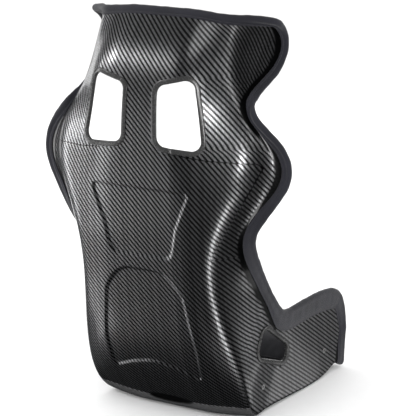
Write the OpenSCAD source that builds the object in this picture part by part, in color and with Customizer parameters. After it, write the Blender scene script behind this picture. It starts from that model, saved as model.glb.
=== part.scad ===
// Fixed-back racing seat: a carbon bucket shell with bound edges, trimmed belt slots,
// threaded side mounts and a set of pads held by hook-and-loop tape.
// Millimetres, +Z up, the seat faces -Y, origin on the floor at the middle of its box.

/* [Shell] */
// Thickness of the laminate
wall = 3.5; // [2.5:0.5:5]
// Stretch of the shell sideways
width_scale = 1; // [0.95:0.01:1.1]
// Facets along the shell for each station
steps_along = 2; // [1:1:3]
// Facets across the shell for each column of points
steps_across = 3; // [2:1:4]

/* [Edge binding] */
// Lap of the binding over the outside of the shoulder wings
shoulder_lap = 10; // [8:1:20]
// Lap of the binding below the shoulder wings, down to the thigh bolsters
rib_lap = 20; // [12:1:26]
// Lap of the binding over the outside of the thigh bolsters
thigh_lap = 38; // [16:1:42]
// Depth of the padded roll beyond the shell's edge
roll = 12; // [8:1:15]

/* [Belt slots] */
// Lap of the rubber trim around a slot
trim_lap = 9; // [6:0.5:11]
// Thickness of the rubber trim
trim_t = 2.2; // [1.5:0.1:3]
// Length of the crotch-belt slot across the seat
crotch_w = 90; // [70:1:110]
// Width of the crotch-belt slot
crotch_d = 46; // [36:1:56]

/* [Side mounts] */
// Bore of the threaded inserts, the tapping size of M8
insert_bore = 6.8; // [5:0.1:8.5]
// Outer diameter of an insert
insert_d = 12; // [10:1:24]
// Length of an insert
insert_len = 16; // [12:1:20]
// Height of the inserts above the floor
insert_z = 70; // [60:1:90]
// Distance between the front and the rear insert
insert_pitch = 290; // [270:5:300]

/* [Pads] */
// Gap between the shell and the back of a pad, which the hook tape fills
pad_gap = 3; // [2.5:0.5:4]
// Thickness of the back, shoulder and head pads
pad_t = 22; // [14:1:28]
// Thickness of the seat cushion
cushion_t = 45; // [30:1:55]
// Thickness of the leg cushion at the front of the seat
leg_cushion_t = 60; // [40:1:70]

/* [Hidden] */
carbon = [.1, .1, .11];
fabric = [.24, .24, .27];
rubber = [.14, .14, .15];
clear = .3;

// ---- The bucket: a smooth surface over stations from the front lip to the top ----
// Station: spine y z, flat share, corner x y z, rim x y z, corner radius, flare of the wing
STATIONS = [
  [-275, 30, .70, 202, -278, 9, 205, -278, 104, 16, 0],
  [-262, 25, .70, 203, -258, 18, 205, -273, 150, 16, 0],
  [-238, 20, .72, 203, -234, 15, 205, -256, 187, 16, 0],
  [-194, 12, .74, 203, -194, 2, 206, -222, 205, 16, 0],
  [-130, 7, .75, 203, -130, 0, 206, -156, 212, 16, 0],
  [-50, 4, .75, 199, -50, 3, 206, -90, 213, 16, 0],
  [40, 1, .75, 195, 30, 6, 206, -32, 211, 16, 0],
  [112, 0, .65, 193, 84, 7, 206, 4, 211, 18, 0],
  [154, 0, .55, 195, 121, 0, 206, 25, 216, 20, 0],
  [172, 20, .55, 200, 157, 22, 207, 43, 224, 22, 0],
  [199, 60, .62, 205, 183, 60, 208, 62, 240, 26, 0],
  [234, 115, .66, 206, 204, 114, 208, 87, 268, 32, 2],
  [263, 190, .66, 194, 231, 188, 208, 119, 309, 35, 4],
  [277, 270, .66, 173, 261, 267, 213, 160, 358, 35, 6],
  [289, 350, .66, 160, 279, 348, 220, 198, 402, 35, 8],
  [298, 430, .62, 163, 289, 430, 226, 226, 452, 35, 10],
  [301, 505, .62, 192, 281, 505, 267, 213, 511, 35, 14],
  [300, 575, .50, 224, 267, 580, 310, 198, 575, 30, 18],
  [298, 640, .42, 226, 248, 645, 290, 197, 638, 30, 16],
  [296, 695, .50, 205, 234, 700, 223, 223, 694, 35, 10],
  [292, 745, .62, 187, 219, 752, 203, 190, 736, 35, 10],
  [282, 790, .66, 177, 207, 796, 220, 98, 778, 35, 12],
  [262, 832, .60, 169, 200, 838, 227, 70, 826, 32, 12],
  [234, 868, .55, 161, 195, 870, 228, 84, 864, 30, 10],
  [208, 902, .50, 153, 190, 891, 226, 112, 881, 28, 8]
];

function lerp(a, b, t) = a + (b - a) * t;
function toward(a, b, d) = a + (b - a) * min(.9, d / norm(b - a));
function flipped(p) = [-p[0], p[1], p[2]];

// Control points of one station, from the middle line out to the rim
function columns(s) =
  let (kx = s[3] * width_scale, mid = [0, s[0], s[1]], flat_end = [s[2] * kx, s[0], s[1]],
       corner = [kx, s[4], s[5]], rim = [s[6] * width_scale, s[7], s[8]])
  [mid, lerp(mid, flat_end, .5), flat_end, toward(corner, flat_end, s[9]), corner,
   toward(corner, rim, s[9]), lerp(corner, rim, .6) - [0, s[10], 0], rim];
// A list of points or rows with one more past its far end, for the spline
function extended(c) = concat(c, [2 * c[len(c) - 1] - c[len(c) - 2]]);
ROWS = [for (s = STATIONS) let (c = columns(s)) concat([flipped(c[1])], extended(c))];
NET = concat([2 * ROWS[0] - ROWS[1]], extended(ROWS));
U_END = len(STATIONS) - 1;
V_END = len(ROWS[0]) - 3;

// Uniform cubic B-spline weights and their slopes
function weights(f) = [pow(1 - f, 3), 3 * f * f * f - 6 * f * f + 4,
                       -3 * f * f * f + 3 * f * f + 3 * f + 1, f * f * f] / 6;
function slopes(f) = [-pow(1 - f, 2), 3 * f * f - 4 * f, -3 * f * f + 2 * f + 1, f * f] / 2;
function mixed(i, j, wu, wv) = wu * [for (a = [0:3]) wv * [for (b = [0:3]) NET[i + a][j + b]]];

// Outer surface at u (front lip to top) and v (middle to rim; negative is the right side)
function skin_at(u, v) =
  let (i = max(0, min(floor(u), U_END - 1)), j = min(floor(abs(v)), V_END - 1),
       p = mixed(i, j, weights(u - i), weights(abs(v) - j)))
  v < 0 ? flipped(p) : p;
function outward(u, v) =
  let (i = max(0, min(floor(u), U_END - 1)), j = min(floor(abs(v)), V_END - 1), fu = u - i, fv = abs(v) - j,
       n = cross(mixed(i, j, slopes(fu), weights(fv)), mixed(i, j, weights(fu), slopes(fv))), d = n / norm(n))
  v < 0 ? flipped(d) : d;
// A point at a depth under the outer surface
function inside(u, v, depth) = skin_at(u, v) - outward(u, v) * depth;

// The u and v of the surface point that shows coordinates p on axes a and b
function located(p, a, b, u, v, tries = 9) =
  tries == 0 ? [u, v] :
  let (s = skin_at(u, v), su = skin_at(u + .01, v) - s, sv = skin_at(u, v + .01) - s,
       d = su[a] * sv[b] - su[b] * sv[a], e = [p[0] - s[a], p[1] - s[b]] * .01)
  located(p, a, b, u + (e[0] * sv[b] - e[1] * sv[a]) / d, v + (su[a] * e[1] - su[b] * e[0]) / d, tries - 1);

// ---- Solids from grids of points ----
// Closed solid between an outer and an inner grid of the same size
module slab(outer, inner) {
  rows = len(outer);
  cols = len(outer[0]);
  function at(i, j, k) = (k * rows + i) * cols + j;
  function split(q, turn) =
    [for (t = [[q[0], q[1], q[2]], [q[0], q[2], q[3]]]) turn ? [t[2], t[1], t[0]] : t];
  skins = [for (i = [0:rows - 2]) for (j = [0:cols - 2]) for (k = [0, 1])
    for (t = split([at(i, j, k), at(i, j + 1, k), at(i + 1, j + 1, k), at(i + 1, j, k)], k == 1)) t];
  ends = [for (j = [0:cols - 2]) for (i = [0, rows - 1])
    for (t = split([at(i, j, 0), at(i, j + 1, 0), at(i, j + 1, 1), at(i, j, 1)], i == 0)) t];
  sides = [for (i = [0:rows - 2]) for (j = [0, cols - 1])
    for (t = split([at(i, j, 0), at(i + 1, j, 0), at(i + 1, j, 1), at(i, j, 1)], j > 0)) t];
  polyhedron([for (g = [outer, inner]) for (r = g) for (p = r) p], concat(skins, ends, sides));
}

// Solid through a row of closed rings; a loop joins its last ring to the first
module swept(rings, loop) {
  n = len(rings);
  k = len(rings[0]);
  side = [for (i = [0:n - (loop ? 1 : 2)]) for (j = [0:k - 1])
    let (a = i * k + j, b = i * k + (j + 1) % k, c = (i + 1) % n * k + (j + 1) % k, d = (i + 1) % n * k + j)
    for (t = [[a, c, b], [a, d, c]]) t];
  caps = loop ? [] : [[for (j = [0:k - 1]) j], [for (j = [k - 1:-1:0]) (n - 1) * k + j]];
  polyhedron([for (r = rings) for (p = r) p], concat(side, caps));
}

// Rings of a profile carried along surface points [u, v]. Profile points are
// [distance beyond the edge, height over the surface].
function rings_along(path, profiles, loop) =
  let (n = len(path))
  [for (i = [0:n - 1])
    let (a = path[loop ? (i + n - 1) % n : max(0, i - 1)], b = path[loop ? (i + 1) % n : min(n - 1, i + 1)],
         p = skin_at(path[i][0], path[i][1]), up = outward(path[i][0], path[i][1]),
         run = skin_at(b[0], b[1]) - skin_at(a[0], a[1]), side = cross(run, up),
         away = side / norm(side))
    [for (q = profiles[i]) p + away * q[0] + up * q[1]]];

// ---- Belt slots ----
// Corners [a, b, radius] of each slot's hole, seen square on
SHOULDER_SLOT = [[39, 762, 20], [42, 634, 22], [148, 627, 20], [124, 783, 22]];
LAP_SLOT = [[118, 215, 22], [148, 151, 24], [-2, 95, 16], [-2, 139, 22]];
CROTCH_Y = -115;
CROTCH_SLOT = [for (q = [[1, 1], [-1, 1], [-1, -1], [1, -1]])
  [q[0] * crotch_w / 2, CROTCH_Y + q[1] * crotch_d / 2, 20]];

function rounded(corners, steps) =
  [for (i = [0:len(corners) - 1])
    let (n = len(corners), c = corners[i], p = corners[(i + n - 1) % n], q = corners[(i + 1) % n],
         o = [c[0], c[1]], d1 = [p[0], p[1]] - o, d2 = [q[0], q[1]] - o,
         a1 = d1 / norm(d1), a2 = d2 / norm(d2), half = acos(a1 * a2) / 2,
         mid = o + (a1 + a2) / norm(a1 + a2) * c[2] / sin(half),
         f1 = o + a1 * c[2] / tan(half) - mid, f2 = o + a2 * c[2] / tan(half) - mid,
         sweep = acos(f1 * f2 / c[2] / c[2]),
         turn = f1[0] * f2[1] - f1[1] * f2[0] > 0 ? 1 : -1)
    for (k = [0:steps]) let (t = turn * sweep * k / steps)
      mid + [f1[0] * cos(t) - f1[1] * sin(t), f1[0] * sin(t) + f1[1] * cos(t)]];

// The outline with its long straight stretches divided, so that it can follow the surface
function divided(outline, longest) =
  [for (i = [0:len(outline) - 1])
    let (a = outline[i], b = outline[(i + 1) % len(outline)], n = max(1, ceil(norm(b - a) / longest)))
    for (k = [0:n - 1]) a + (b - a) * k / n];
SLOT_STEPS = 3;
SLOT_STRETCH = 30;
function slot_outline(corners) = divided(rounded(corners, SLOT_STEPS), SLOT_STRETCH);
shoulder_path = [for (p = slot_outline(SHOULDER_SLOT)) located(p, 0, 2, 19, 1.5)];
lap_path = [for (p = slot_outline(LAP_SLOT)) located(p, 1, 2, 8, 6)];
crotch_path = [for (p = slot_outline(CROTCH_SLOT)) let (q = located([abs(p[0]), p[1]], 0, 1, 4, .5))
  [q[0], p[0] < 0 ? -q[1] : q[1]]];

// A plug through the shell wall along a slot's outline
module slot_plug(path) {
  hull() swept([for (depth = [-6, wall + 6]) [for (q = path) inside(q[0], q[1], depth)]], false);
}

// Rubber channel around a slot's edge
trim_profile = let (top = clear + trim_t, low = -wall - top, nose = clear + 1.8)
  [[clear, clear], [-trim_lap, clear], [1 - trim_lap, top], [.4, top], [nose, top - 1.4],
   [nose, low + 1.4], [.4, low], [1 - trim_lap, low], [-trim_lap, -wall - clear], [clear, -wall - clear]];
module slot_trim(path) {
  color(rubber) swept(rings_along(path, same(path, trim_profile), true), true);
}

// ---- Edge binding ----
// Padded channel over the shell's edge; lap is its width on the outside of the shell
function binding_profile(lap, edge) = let (low = -wall - clear)
  [[clear, clear], [-lap, clear], [-lap, clear + 2.5], [-lap * .5, 6.5], [edge * .5, 6],
   [edge, 0], [edge, low - 3], [edge * .4, low - 9], [-12, low - 9], [-20, low - 4], [-20, low],
   [clear, low]];
module binding(path, laps, edges) {
  profiles = [for (i = [0:len(path) - 1]) binding_profile(laps[i], edges[i])];
  color(fabric) swept(rings_along(path, profiles, false), false);
}
function same(path, value) = [for (q = path) value];

NECK_U = 19.6;
PIECE_GAP_U = .06;
FRONT_V = 4;
FRONT_LAP = 20;
// Left side: down the wing from the neck, along the thigh bolster, then down its front end
side_us = [for (k = [0:40]) lerp(NECK_U - PIECE_GAP_U, 0, k / 40)];
side_vs = [for (k = [1:7]) lerp(V_END, FRONT_V + .1, k / 7)];
side_path = concat([for (u = side_us) [u, V_END]], [for (v = side_vs) [0, v]]);
// The lap widens from the shoulder wings to the thigh bolsters and narrows again to the front
function side_lap(u, v) = v < V_END ? FRONT_LAP :
  u > 16 ? shoulder_lap : u > 14 ? lerp(rib_lap, shoulder_lap, (u - 14) / 2) :
  u > 11 ? rib_lap : u > 7 ? lerp(thigh_lap, rib_lap, (u - 7) / 4) :
  u < 3 ? lerp(FRONT_LAP, thigh_lap, u / 3) : thigh_lap;
// Over the head, from the right side of the neck to the left
head_us = [for (k = [0:9]) lerp(NECK_U + PIECE_GAP_U, U_END, k / 10)];
head_path = concat([for (u = head_us) [u, -V_END]],
                   [for (k = [-10:10]) [U_END, V_END * k / 10]],
                   [for (k = [9:-1:0]) [head_us[k], V_END]]);
front_path = [for (k = [10:-1:-10]) [0, FRONT_V * k / 10]];

// ---- Pads ----
// A grid of u and v between limits, with its corners drawn in
function pad_grid(us, vs, rows, cols) =
  [for (i = [-rows:rows]) [for (j = [-cols:cols])
    let (a = i / rows, b = j / cols)
    [lerp(us[0], us[1], .5 + .5 * a * sqrt(1 - .3 * b * b)),
     lerp(vs[0], vs[1], .5 + .5 * b * sqrt(1 - .3 * a * a))]]];
// Cushion that rests on the tape and is thinner at its edges
module pad(us, vs, thick, rows = 5, cols = 5) {
  grid = pad_grid(us, vs, rows, cols);
  back = wall + pad_gap;
  color(fabric) slab(
    [for (r = grid) [for (q = r) inside(q[0], q[1], back)]],
    [for (i = [-rows:rows]) [for (j = [-cols:cols])
      let (q = grid[i + rows][j + cols], crown = (1 - pow(i / rows, 4)) * (1 - pow(j / cols, 4)))
      inside(q[0], q[1], back + thick * (.4 + .6 * crown))]]);
}

// Hook-and-loop strip between the shell and a pad, with its middle at u, v
TAPE_T = 2.4;
module tape(u, v, du, dv) {
  us = [u - du / 2, u, u + du / 2];
  vs = [v - dv / 2, v + dv / 2];
  color(rubber) slab([for (a = us) [for (b = vs) inside(a, b, wall + clear)]],
                     [for (a = us) [for (b = vs) inside(a, b, wall + clear + TAPE_T)]]);
}
module tapes(places, du, dv) {
  for (q = places) tape(q[0], q[1], du, dv);
}

// ---- Side mounts ----
insert_front_y = -184;
insert_ys = [insert_front_y, insert_front_y + insert_pitch];
function side_x(y) = let (q = located([y, insert_z], 1, 2, y > 0 ? 9 : 3, 5)) skin_at(q[0], q[1])[0];
// Puts its children on the left wall at an insert, +Z outward, 0 at the shell's outer face
module at_inserts() {
  for (y = insert_ys) translate([side_x(y), y, insert_z]) rotate([0, 90, 0]) children();
}
INSERT_PROUD = .6;
module side_inserts() {
  color("silver") at_inserts() translate([0, 0, INSERT_PROUD - insert_len]) difference() {
    cylinder(d = insert_d, h = insert_len, $fn = 48);
    translate([0, 0, -1]) cylinder(d = insert_bore, h = insert_len + 2, $fn = 32);
  }
}
WASHER_D = 36;
WASHER_T = 2;
module insert_washers() {
  color([.3, .3, .32]) at_inserts() translate([0, 0, -wall - 1.6 - WASHER_T]) difference() {
    cylinder(d = WASHER_D, h = WASHER_T, $fn = 48);
    translate([0, 0, -1]) cylinder(d = insert_d + 2 * clear, h = WASHER_T + 2, $fn = 48);
  }
}

module right_side() {
  mirror([1, 0, 0]) children();
}
module both_sides() {
  children();
  right_side() children();
}

module shell_skin() {
  us = [for (k = [0:U_END * steps_along]) k / steps_along];
  vs = [for (k = [-V_END * steps_across:V_END * steps_across]) k / steps_across];
  slab([for (u = us) [for (v = vs) inside(u, v, 0)]], [for (u = us) [for (v = vs) inside(u, v, wall)]]);
}
module shell() {
  color(carbon) difference() {
    shell_skin();
    both_sides() {
      slot_plug(shoulder_path);
      slot_plug(lap_path);
      at_inserts() translate([0, 0, -wall - 6]) cylinder(d = insert_d + 2 * clear, h = wall + 12, $fn = 32);
    }
    slot_plug(crotch_path);
  }
}

module head_binding() {
  binding(head_path, same(head_path, 16), [for (q = head_path) q[0] < U_END ? roll : roll + 4]);
}
module side_binding_left() {
  binding(side_path, [for (q = side_path) side_lap(q[0], q[1])], same(side_path, roll));
}
module side_binding_right() { right_side() side_binding_left(); }
module front_binding() { binding(front_path, same(front_path, 20), same(front_path, roll)); }

module shoulder_slot_trim_left() { slot_trim(shoulder_path); }
module shoulder_slot_trim_right() { right_side() shoulder_slot_trim_left(); }
module lap_slot_trim_left() { slot_trim(lap_path); }
module lap_slot_trim_right() { right_side() lap_slot_trim_left(); }
module crotch_slot_trim() { slot_trim(crotch_path); }

module side_inserts_left() { side_inserts(); }
module side_inserts_right() { right_side() side_inserts(); }
module insert_washers_left() { insert_washers(); }
module insert_washers_right() { right_side() insert_washers(); }

module headrest_pad() { pad([21.2, 23.6], [-2.6, 2.6], pad_t); }
module head_wing_pad_left() { pad([20.9, 23.4], [4.7, 6.5], pad_t * .8); }
module head_wing_pad_right() { right_side() head_wing_pad_left(); }
module shoulder_pad_left() { pad([16.2, 18.7], [4.7, 6.5], pad_t * .8); }
module shoulder_pad_right() { right_side() shoulder_pad_left(); }
module upper_back_pad() { pad([15.3, 17.4], [-2.7, 2.7], pad_t); }
module lumbar_pad() { pad([11.3, 15.1], [-2.7, 2.7], pad_t * 1.2); }
module rib_pad_left() { pad([12.3, 15.4], [4.8, 6.5], pad_t * .8); }
module rib_pad_right() { right_side() rib_pad_left(); }
module seat_cushion() { pad([4.75, 8.1], [-3, 3], cushion_t); }
module leg_cushion() { pad([.7, 3.5], [-3, 3], leg_cushion_t); }
module thigh_pad_left() { pad([1.3, 5], [5.75, 6.6], pad_t * .8); }
module thigh_pad_right() { right_side() thigh_pad_left(); }

module back_hook_tapes() {
  tapes([for (u = [12, 13.2, 14.4, 15.8, 16.9, 21.8, 23]) for (v = [-1.6, 1.6]) [u, v]], .35, 1);
}
module wing_hook_tapes() {
  both_sides() tapes([for (u = [12.8, 13.9, 14.9, 16.8, 17.4, 18.1, 21.5, 22.9]) [u, 5.6]], .25, .7);
}
module seat_hook_tapes() {
  tapes([for (u = [1.4, 2.8, 5.3, 7.2]) for (v = [-2, 0, 2]) [u, v]], .4, .8);
  both_sides() tapes([for (u = [2, 3, 4.2]) [u, 6.15]], .4, .4);
}

shell();
head_binding();
side_binding_left();
side_binding_right();
front_binding();
shoulder_slot_trim_left();
shoulder_slot_trim_right();
lap_slot_trim_left();
lap_slot_trim_right();
crotch_slot_trim();
side_inserts_left();
side_inserts_right();
insert_washers_left();
insert_washers_right();
headrest_pad();
head_wing_pad_left();
head_wing_pad_right();
shoulder_pad_left();
shoulder_pad_right();
upper_back_pad();
lumbar_pad();
rib_pad_left();
rib_pad_right();
seat_cushion();
leg_cushion();
thigh_pad_left();
thigh_pad_right();
back_hook_tapes();
wing_hook_tapes();
seat_hook_tapes();
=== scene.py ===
"""Looks of a fixed-back racing seat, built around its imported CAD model.

Metres, +Z up, the seat faces -Y. The carbon shell, its fabric binding, the rubber slot trims
and the pads are built here; the inserts, washers and hook tapes keep their CAD shapes and get
materials. Places on the shell are given as u, which runs from the front lip over the seat and
up to the top, and v, which runs from the middle line to the rim and is negative on the right.
"""

import math

import bmesh
import bpy
import numpy as np
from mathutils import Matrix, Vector


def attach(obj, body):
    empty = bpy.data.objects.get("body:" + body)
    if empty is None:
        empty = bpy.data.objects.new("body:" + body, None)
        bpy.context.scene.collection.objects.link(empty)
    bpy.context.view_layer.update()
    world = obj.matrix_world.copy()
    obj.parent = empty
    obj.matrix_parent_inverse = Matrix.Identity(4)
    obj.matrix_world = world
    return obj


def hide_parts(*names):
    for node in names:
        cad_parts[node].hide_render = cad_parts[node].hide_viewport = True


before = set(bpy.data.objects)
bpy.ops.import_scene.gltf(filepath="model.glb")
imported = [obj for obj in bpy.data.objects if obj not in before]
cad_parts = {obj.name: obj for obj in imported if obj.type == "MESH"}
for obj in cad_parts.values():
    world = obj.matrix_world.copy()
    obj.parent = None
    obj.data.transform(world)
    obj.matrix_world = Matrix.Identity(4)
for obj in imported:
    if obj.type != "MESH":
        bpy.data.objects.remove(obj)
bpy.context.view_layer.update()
MM = 0.001

# ---- Sizes of the seat, in millimetres -------------------------------------------------
WALL = 3.5
# Room between the shell and the pads for the hook tapes
PAD_GAP = 3
# Gap between the shell and what is fixed over its edges
CLEAR = 0.3
# Station: spine y z, flat share, corner x y z, rim x y z, corner radius, flare of the wing
STATIONS = [
    [-275, 30, .70, 202, -278, 9, 205, -278, 104, 16, 0],
    [-262, 25, .70, 203, -258, 18, 205, -273, 150, 16, 0],
    [-238, 20, .72, 203, -234, 15, 205, -256, 187, 16, 0],
    [-194, 12, .74, 203, -194, 2, 206, -222, 205, 16, 0],
    [-130, 7, .75, 203, -130, 0, 206, -156, 212, 16, 0],
    [-50, 4, .75, 199, -50, 3, 206, -90, 213, 16, 0],
    [40, 1, .75, 195, 30, 6, 206, -32, 211, 16, 0],
    [112, 0, .65, 193, 84, 7, 206, 4, 211, 18, 0],
    [154, 0, .55, 195, 121, 0, 206, 25, 216, 20, 0],
    [172, 20, .55, 200, 157, 22, 207, 43, 224, 22, 0],
    [199, 60, .62, 205, 183, 60, 208, 62, 240, 26, 0],
    [234, 115, .66, 206, 204, 114, 208, 87, 268, 32, 2],
    [263, 190, .66, 194, 231, 188, 208, 119, 309, 35, 4],
    [277, 270, .66, 173, 261, 267, 213, 160, 358, 35, 6],
    [289, 350, .66, 160, 279, 348, 220, 198, 402, 35, 8],
    [298, 430, .62, 163, 289, 430, 226, 226, 452, 35, 10],
    [301, 505, .62, 192, 281, 505, 267, 213, 511, 35, 14],
    [300, 575, .50, 224, 267, 580, 310, 198, 575, 30, 18],
    [298, 640, .42, 226, 248, 645, 290, 197, 638, 30, 16],
    [296, 695, .50, 205, 234, 700, 223, 223, 694, 35, 10],
    [292, 745, .62, 187, 219, 752, 203, 190, 736, 35, 10],
    [282, 790, .66, 177, 207, 796, 220, 98, 778, 35, 12],
    [262, 832, .60, 169, 200, 838, 227, 70, 826, 32, 12],
    [234, 868, .55, 161, 195, 870, 228, 84, 864, 30, 10],
    [208, 902, .50, 153, 190, 891, 226, 112, 881, 28, 8],
]
# Steps in the arc of a rounded corner
CORNER_STEPS = 8
# Holes and pressed panels, as corners [a, b, radius] seen square on
SHOULDER_SLOT = [[39, 762, 20], [42, 634, 22], [148, 627, 20], [124, 783, 22]]
LAP_SLOT = [[118, 215, 22], [148, 151, 24], [-2, 95, 16], [-2, 139, 22]]
CROTCH_SLOT = [[45, -92, 20], [-45, -92, 20], [-45, -138, 20], [45, -138, 20]]
BACK_PANEL = [[122, 541, 9], [89, 458, 60], [76, 391, 20],
              [-76, 391, 20], [-89, 458, 60], [-122, 541, 9]]
LOW_PANEL = [[114, 102, 10], [116, 182, 80], [97, 306, 60], [58, 358, 60],
             [-58, 358, 60], [-97, 306, 60], [-116, 182, 80], [-114, 102, 10],
             [-60, 124, 80], [0, 138, 80], [60, 124, 80]]
PANEL_DEPTH = 2.9
# Width of the slope round a panel
PANEL_EDGE = 6
# Edge of the upper ply, from the slots out over the shoulder and down its wing, as [x, z]
PLY_EDGE = [[60, 620], [109, 618], [160, 612], [205, 611], [250, 608],
            [260, 598], [243, 557], [227, 525]]
# How far the weave above that edge is shifted against the one below
PLY_SHIFT = 4.2
# Width of one tow of the twill
TOW = 3.0
# Width of the band of painted shade and dark reflection inside the rim, beside the binding, from
# the rim, as [u, width], and at the front
EDGE_SHADE_BAND = [[7.5, 0], [9, 42], [11, 36], [14, 33], [15.6, 26], [18.3, 24],
             [19.6, 26], [22.5, 22], [23.6, 18], [24, 4]]
FRONT_SHADE_BAND = 33
# Width over which a band of painted shade turns into weave
BAND_FADE = 3
# Height of the crease over the base's rear edge in the middle, its rise towards the sides (in
# metres per square metre), where it ends at each side, and its depths above and below
CREASE_Z = 26
CREASE_RISE = .3
CREASE_END = 185
CREASE_DEPTH = [2.9, 1.9]
# Dent over the crease: half width, half height, height of its middle, depth
DENT = [57, 11, 27, 3.2]


# ---- The bucket's surface ----------------------------------------------------------------
def toward(a, b, d):
    """The point at distance d from a on the way to b, and at most nine tenths of the way."""
    return a + (b - a) * min(.9, d / np.linalg.norm(b - a))


def columns(s):
    """Control points of one station, from the middle line out to the rim."""
    mid, corner, rim = np.array([0, s[0], s[1]]), np.array(s[3:6]), np.array(s[6:9])
    flat_end = np.array([s[2] * s[3], s[0], s[1]])
    return [mid, (mid + flat_end) / 2, flat_end, toward(corner, flat_end, s[9]), corner,
            toward(corner, rim, s[9]), corner + .6 * (rim - corner) - [0, s[10], 0], rim]


def control_net():
    """The B-spline surface's control points, in metres, with one row or column past each edge
    so that the surface starts and ends at the outer stations and rims."""
    rows = np.array([columns(s) for s in STATIONS], float)
    past_rim = 2 * rows[:, -1:] - rows[:, -2:-1]
    rows = np.concatenate([rows[:, 1:2] * [-1, 1, 1], rows, past_rim], 1)
    return np.concatenate([2 * rows[:1] - rows[1:2], rows, 2 * rows[-1:] - rows[-2:-1]]) * MM


NET = control_net()
U_END = len(STATIONS) - 1
V_END = NET.shape[1] - 3
SPAN = np.arange(4)


def weights(f):
    """Uniform cubic B-spline weights."""
    return np.stack([(1 - f) ** 3, 3 * f ** 3 - 6 * f ** 2 + 4,
                     -3 * f ** 3 + 3 * f ** 2 + 3 * f + 1, f ** 3], -1) / 6


def slopes(f):
    """Derivatives of the weights."""
    return np.stack([-(1 - f) ** 2, 3 * f ** 2 - 4 * f,
                     -3 * f ** 2 + 2 * f + 1, f ** 2], -1) / 2


def unit(a):
    return a / np.maximum(np.linalg.norm(a, axis=-1, keepdims=True), 1e-12)


def skin(u, v):
    """Points of the outer surface and their outward normals."""
    u, v = np.broadcast_arrays(np.asarray(u, float), np.asarray(v, float))
    i = np.clip(np.floor(u), 0, U_END - 1).astype(int)
    j = np.clip(np.floor(abs(v)), 0, V_END - 1).astype(int)
    fu, fv = u - i, abs(v) - j
    net = NET[i[..., None, None] + SPAN[:, None], j[..., None, None] + SPAN]

    def blend(a, b):
        return np.einsum("...a,...b,...abc->...c", a, b, net)

    side = np.where(v < 0, -1., 1.)[..., None] * [1, 0, 0] + [0, 1, 1]
    normal = unit(np.cross(blend(slopes(fu), weights(fv)), blend(weights(fu), slopes(fv))))
    return blend(weights(fu), weights(fv)) * side, normal * side


def located(p, axes, u, v):
    """The u and v of the surface points that show coordinates p on two axes, found by Newton
    steps from the u and v given."""
    p = np.asarray(p, float)
    u, v = [np.full(len(p), float(w)) if np.isscalar(w) else w for w in (u, v)]
    h, tries = .01, 9
    for _ in range(tries):
        s = skin(u, v)[0][:, axes]
        su, sv = skin(u + h, v)[0][:, axes] - s, skin(u, v + h)[0][:, axes] - s
        d = su[:, 0] * sv[:, 1] - su[:, 1] * sv[:, 0]
        e = (p - s) * h
        u = u + (e[:, 0] * sv[:, 1] - e[:, 1] * sv[:, 0]) / d
        v = v + (su[:, 0] * e[:, 1] - su[:, 1] * e[:, 0]) / d
    return u, v


# ---- Outlines ----------------------------------------------------------------------------
def rounded(corners):
    """Points of a closed outline with rounded corners, in metres."""
    c = np.array(corners, float) * MM
    out = []
    for k in range(len(c)):
        o, r = c[k, :2], c[k, 2]
        a1, a2 = unit(c[k - 1, :2] - o), unit(c[(k + 1) % len(c), :2] - o)
        half = math.acos(np.clip(a1 @ a2, -1, 1)) / 2
        mid = o + unit(a1 + a2) * r / math.sin(half)
        f1, f2 = o + a1 * r / math.tan(half) - mid, o + a2 * r / math.tan(half) - mid
        angle = math.acos(np.clip(f1 @ f2 / r / r, -1, 1))
        turn = 1 if f1[0] * f2[1] - f1[1] * f2[0] > 0 else -1
        for t in np.linspace(0, turn * angle, CORNER_STEPS + 1):
            cos, sin = math.cos(t), math.sin(t)
            out.append(mid + [f1[0] * cos - f1[1] * sin, f1[0] * sin + f1[1] * cos])
    return np.array(out)


def divided(outline, longest=6 * MM):
    """The outline with its long stretches divided, so that it can follow the surface."""
    out = []
    for a, b in zip(outline, np.roll(outline, -1, 0)):
        n = max(1, math.ceil(np.linalg.norm(b - a) / longest))
        out += [a + (b - a) * k / n for k in range(n)]
    return np.array(out)


def nearest(p, line):
    """For points p: distance to a polyline, the nearest point's length along it, that point,
    and the side of the line p is on."""
    best = np.full(len(p), 1e9)
    along, place, side = np.zeros(len(p)), np.zeros_like(p), np.ones(len(p))
    start = 0.
    for a, b in zip(line[:-1], line[1:]):
        run, size = b - a, np.linalg.norm(b - a)
        t = np.clip((p - a) @ run / size ** 2, 0, 1)
        q = a + t[:, None] * run
        d = np.linalg.norm(p - q, axis=1)
        m = d < best - 1e-9
        best[m], along[m], place[m] = d[m], (start + t * size)[m], q[m]
        cross = run[0] * (p[:, 1] - a[1]) - run[1] * (p[:, 0] - a[0])
        side[m] = np.where(cross[m] >= 0, 1, -1)
        start += size
    return best, along, place, side


def inside_of(p, outline):
    """True for the points inside a closed outline."""
    a, b = outline, np.roll(outline, -1, 0)
    crosses = (a[None, :, 1] > p[:, None, 1]) != (b[None, :, 1] > p[:, None, 1])
    run = b - a
    with np.errstate(divide="ignore", invalid="ignore"):
        x = a[None, :, 0] + (p[:, None, 1] - a[None, :, 1]) / run[None, :, 1] * run[None, :, 0]
    return (crosses & (p[:, None, 0] < x)).sum(1) % 2 == 1


def closed(outline):
    """The outline with its first point again at its end."""
    return np.vstack([outline, outline[:1]])


def signed_distance(p, outline):
    """Distance to a closed outline, negative inside it."""
    return nearest(p, closed(outline))[0] * np.where(inside_of(p, outline), -1, 1)


def smooth(t):
    """Smooth step from 0 to 1."""
    t = np.clip(t, 0, 1)
    return t * t * (3 - 2 * t)


# ---- Meshes ------------------------------------------------------------------------------
def put_in_scene(name, data):
    thing = bpy.data.objects.new(name, data)
    bpy.context.scene.collection.objects.link(thing)
    return thing


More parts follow.
